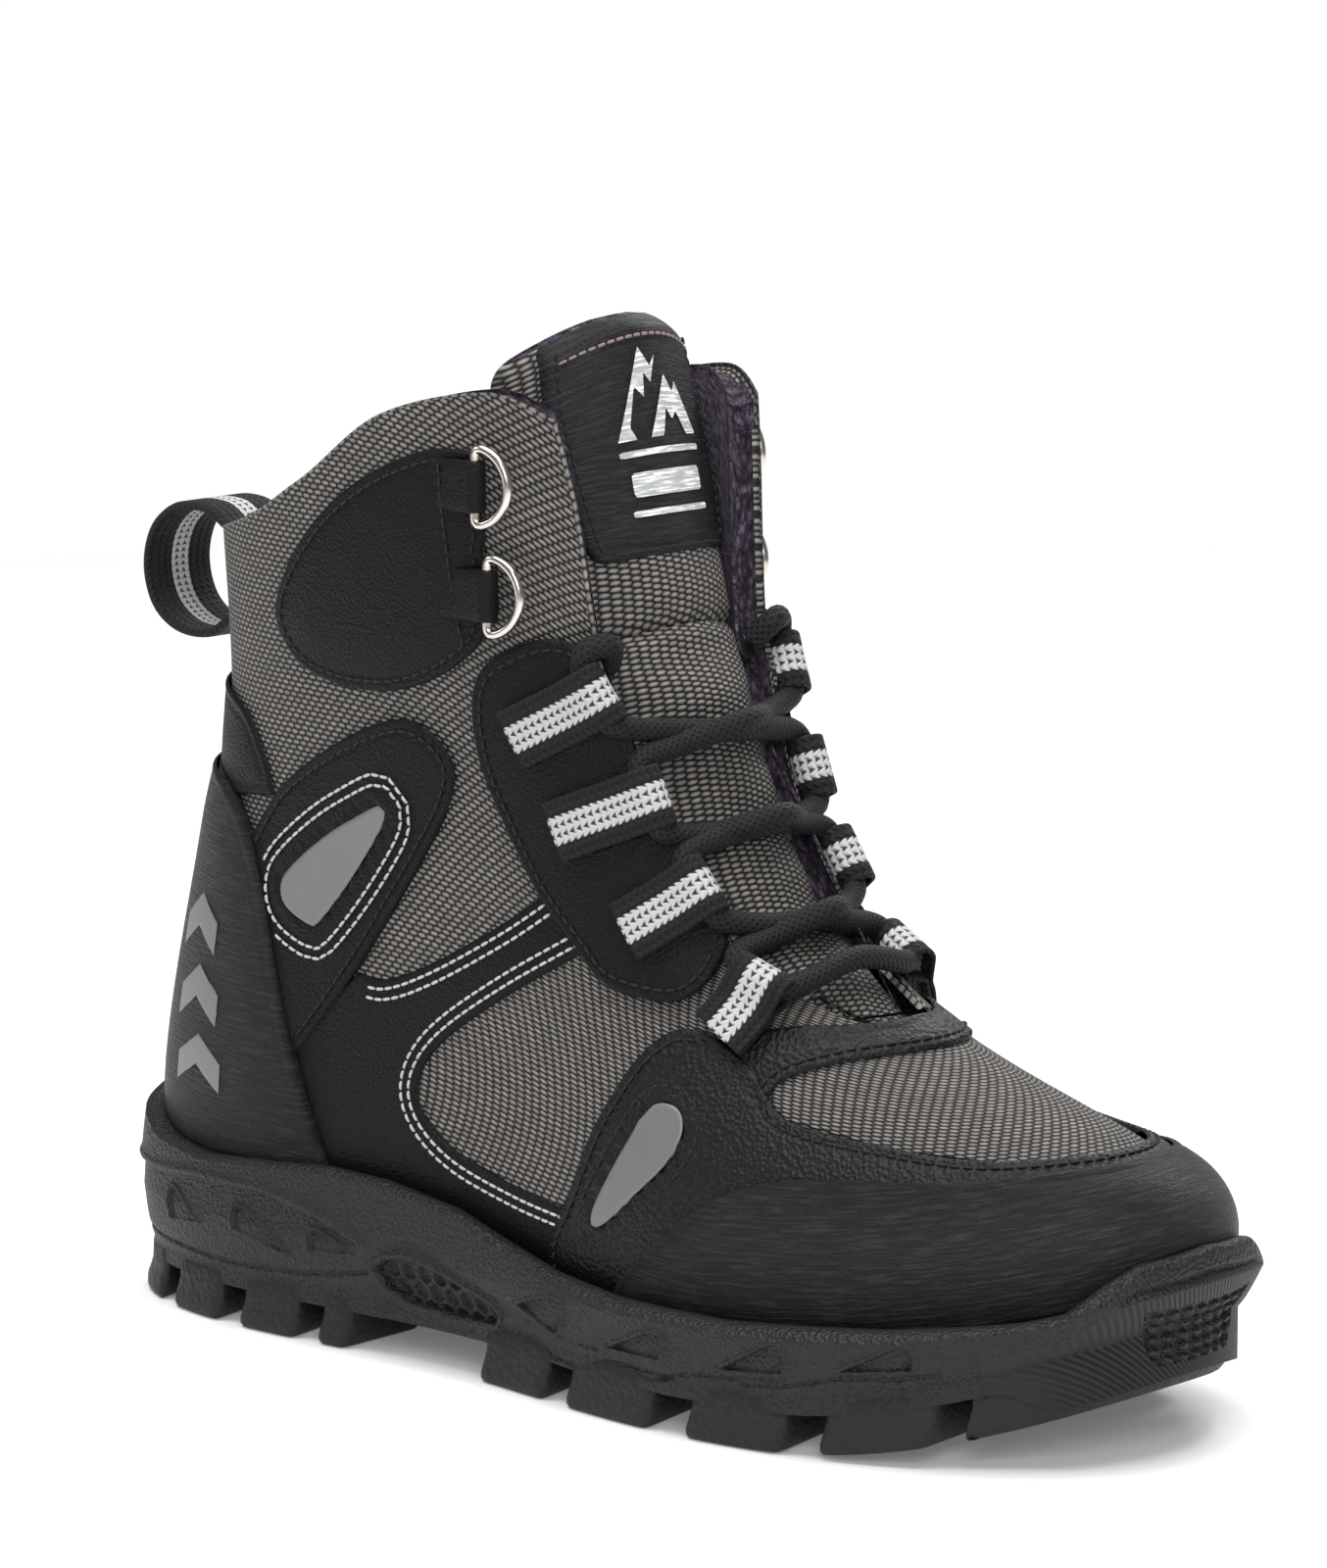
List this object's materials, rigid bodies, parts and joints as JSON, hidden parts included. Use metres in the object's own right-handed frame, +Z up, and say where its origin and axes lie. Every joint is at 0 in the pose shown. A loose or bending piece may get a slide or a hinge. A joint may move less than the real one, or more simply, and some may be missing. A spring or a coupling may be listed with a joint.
{
  "type": "hiking boot",
  "caption": "Mid-height hiking boot for the right foot, with lugged sole, fabric and synthetic upper, webbing lace loops, D-rings, folding tongue top and heel pull loop.",
  "frame": {"origin": "middle of the boot's bounding box, on the ground under the tread", "axes": "+X to the toe, -Y to the outer side of the foot, +Z up"},
  "size_m": [0.2799, 0.1074, 0.2184],
  "materials": {
    "outsole_rubber": "matt pebbled",
    "midsole_rubber": "matt pebbled",
    "window_rubber": "hexagon texture",
    "spring_steel": "satin",
    "board": "fibre board",
    "footbed_foam": "cloth-topped foam",
    "stiffener": "thermoplastic sheet",
    "foam": "open foam",
    "woven_fabric": "coarse basket weave",
    "fleece_lining": "brushed fleece",
    "brushed_synthetic": "fine streaked grain",
    "grained_synthetic": "pebble grain",
    "smooth_synthetic": "smooth matt",
    "label_synthetic": "fine ribbed, printed motif",
    "webbing": "woven tape with a pale stripe",
    "lace_cord": "round braid",
    "reflective_film": "satin grey",
    "aglet_plastic": "gloss",
    "ring_metal": "pale nickel-gold plate"
  },
  "bodies": {
    "boot": {"outsole": "outsole_rubber", "midsole": "midsole_rubber", "arch_window_lateral": "window_rubber", "arch_window_medial": "window_rubber", "shank": "spring_steel", "insole_board": "board", "footbed": "footbed_foam", "heel_counter": "stiffener", "toe_puff": "stiffener", "vamp": "woven_fabric", "quarter_lateral": "woven_fabric", "quarter_medial": "woven_fabric", "quarter_lining": "fleece_lining", "vamp_lining": "fleece_lining", "collar_foam": "foam", "toe_cap": "brushed_synthetic", "mudguard": "grained_synthetic", "front_reflector_lateral": "reflective_film", "front_reflector_medial": "reflective_film", "side_overlay_lateral": "smooth_synthetic", "side_overlay_medial": "smooth_synthetic", "rear_panel_lateral": "smooth_synthetic", "rear_panel_medial": "smooth_synthetic", "rear_reflector_lateral": "reflective_film", "rear_reflector_medial": "reflective_film", "heel_cap": "brushed_synthetic", "backstay": "grained_synthetic", "heel_webbing": "webbing", "eyestay_lateral": "smooth_synthetic", "eyestay_medial": "smooth_synthetic", "throat_yoke": "grained_synthetic", "ankle_patch_lateral": "smooth_synthetic", "ankle_patch_medial": "smooth_synthetic", "ring_tabs_lateral": "smooth_synthetic", "ring_tabs_medial": "smooth_synthetic", "lace_loop_lateral_1": "webbing", "lace_loop_lateral_2": "webbing", "lace_loop_lateral_3": "webbing", "lace_loop_lateral_4": "webbing", "lace_loop_medial_1": "webbing", "lace_loop_medial_2": "webbing", "lace_loop_medial_3": "webbing", "lace_loop_medial_4": "webbing", "tongue": "woven_fabric", "lace": "lace_cord", "lace_tail_lateral": "lace_cord", "lace_tail_medial": "lace_cord", "aglet_lateral": "aglet_plastic", "aglet_medial": "aglet_plastic"},
    "tongue_flap": {"tongue_top": "woven_fabric", "tongue_label": "label_synthetic"},
    "ring_lateral_upper": {"d_ring_lateral_upper": "ring_metal"},
    "ring_lateral_lower": {"d_ring_lateral_lower": "ring_metal"},
    "ring_medial_upper": {"d_ring_medial_upper": "ring_metal"},
    "ring_medial_lower": {"d_ring_medial_lower": "ring_metal"},
    "heel_loop": {"pull_loop": "webbing"}
  },
  "joints": [
    {"name": "tongue_fold", "type": "hinge", "parent": "boot", "child": "tongue_flap", "pos_m": [0.0081, -0.0024, 0.1575], "axis": [0, 1, 0], "range_deg": [-5, 35]},
    {"name": "ring_lateral_upper_swing", "type": "hinge", "parent": "boot", "child": "ring_lateral_upper", "pos_m": [-0.0129, -0.0438, 0.188], "axis": [0, 0, -1], "range_deg": [0, 160]},
    {"name": "ring_lateral_lower_swing", "type": "hinge", "parent": "boot", "child": "ring_lateral_lower", "pos_m": [-0.0109, -0.0424, 0.1655], "axis": [0, 0, -1], "range_deg": [0, 160]},
    {"name": "ring_medial_upper_swing", "type": "hinge", "parent": "boot", "child": "ring_medial_upper", "pos_m": [-0.0129, 0.039, 0.188], "axis": [0, 0, 1], "range_deg": [0, 160]},
    {"name": "ring_medial_lower_swing", "type": "hinge", "parent": "boot", "child": "ring_medial_lower", "pos_m": [-0.0109, 0.0376, 0.1655], "axis": [0, 0, 1], "range_deg": [0, 160]},
    {"name": "pull_loop_swing", "type": "hinge", "parent": "boot", "child": "heel_loop", "pos_m": [-0.1114, -0.0024, 0.158], "axis": [0, 1, 0], "range_deg": [-12, 12]}
  ]
}
